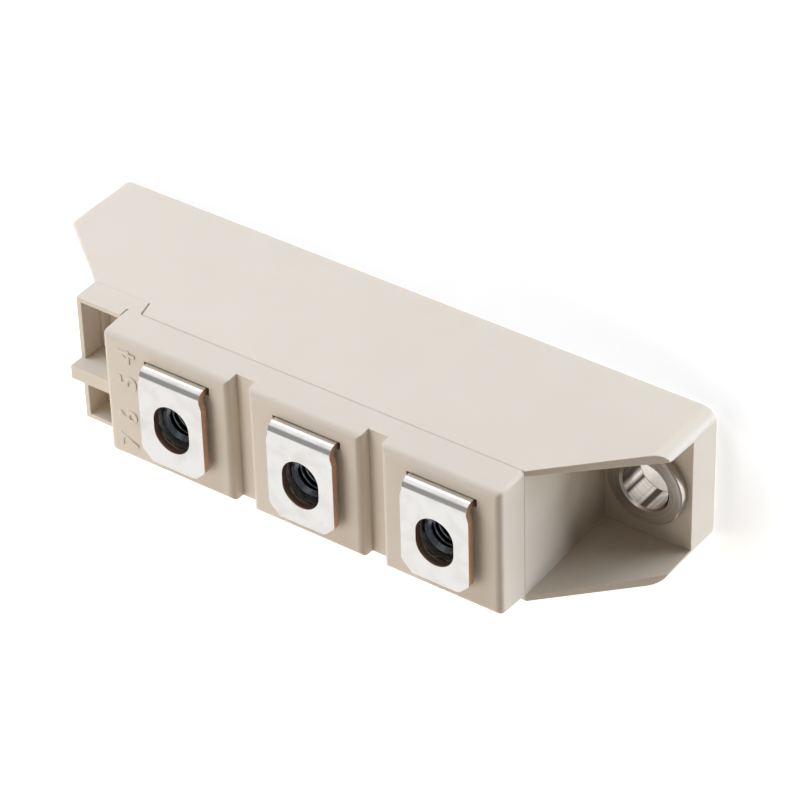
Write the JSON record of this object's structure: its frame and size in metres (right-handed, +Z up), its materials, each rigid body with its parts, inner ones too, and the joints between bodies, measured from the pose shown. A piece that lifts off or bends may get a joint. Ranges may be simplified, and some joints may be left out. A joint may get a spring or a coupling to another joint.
{
  "type": "rectifier diode module",
  "caption": "Narrow beige rectifier diode module with screw terminals in a row on top, a flat metal base and a recessed bushed flange at each end.",
  "frame": {"origin": "middle of the flat base face", "axes": "+X along the module, away from the auxiliary socket block; +Y towards the side where the terminal straps leave the lid; +Z up from the base face towards the terminals"},
  "size_m": [0.092, 0.02, 0.0302],
  "materials": {
    "beige_plastic": "satin moulded beige plastic",
    "nickel_plate": "nickel-plated copper, satin",
    "turned_steel": "turned and plated steel",
    "zinc_nut": "dark zinc-plated steel",
    "tinned_copper": "tin-plated copper, sheared edges bare",
    "solder": "dull solder",
    "bare_copper": "bare copper",
    "white_ceramic": "matte white ceramic",
    "silicon": "metallised silicon, dark grey",
    "clear_gel": "clear soft gel",
    "black_epoxy": "black casting resin"
  },
  "bodies": {
    "root": {"housing": "beige_plastic", "lid": "beige_plastic", "base_plate": "nickel_plate", "bush_left": "turned_steel", "bush_right": "turned_steel", "nut_1": "zinc_nut", "nut_2": "zinc_nut", "nut_3": "zinc_nut", "terminal_1": "tinned_copper", "terminal_2": "tinned_copper", "terminal_3": "tinned_copper", "base_solder": "solder", "chip_solder_1": "solder", "chip_solder_2": "solder", "back_copper": "bare_copper", "pad_midpoint": "bare_copper", "pad_cathode": "bare_copper", "pad_anode": "bare_copper", "jumper_1": "bare_copper", "jumper_2": "bare_copper", "ceramic_substrate": "white_ceramic", "diode_chip_1": "silicon", "diode_chip_2": "silicon", "silicone_gel": "clear_gel", "epoxy_seal": "black_epoxy"}
  },
  "joints": []
}
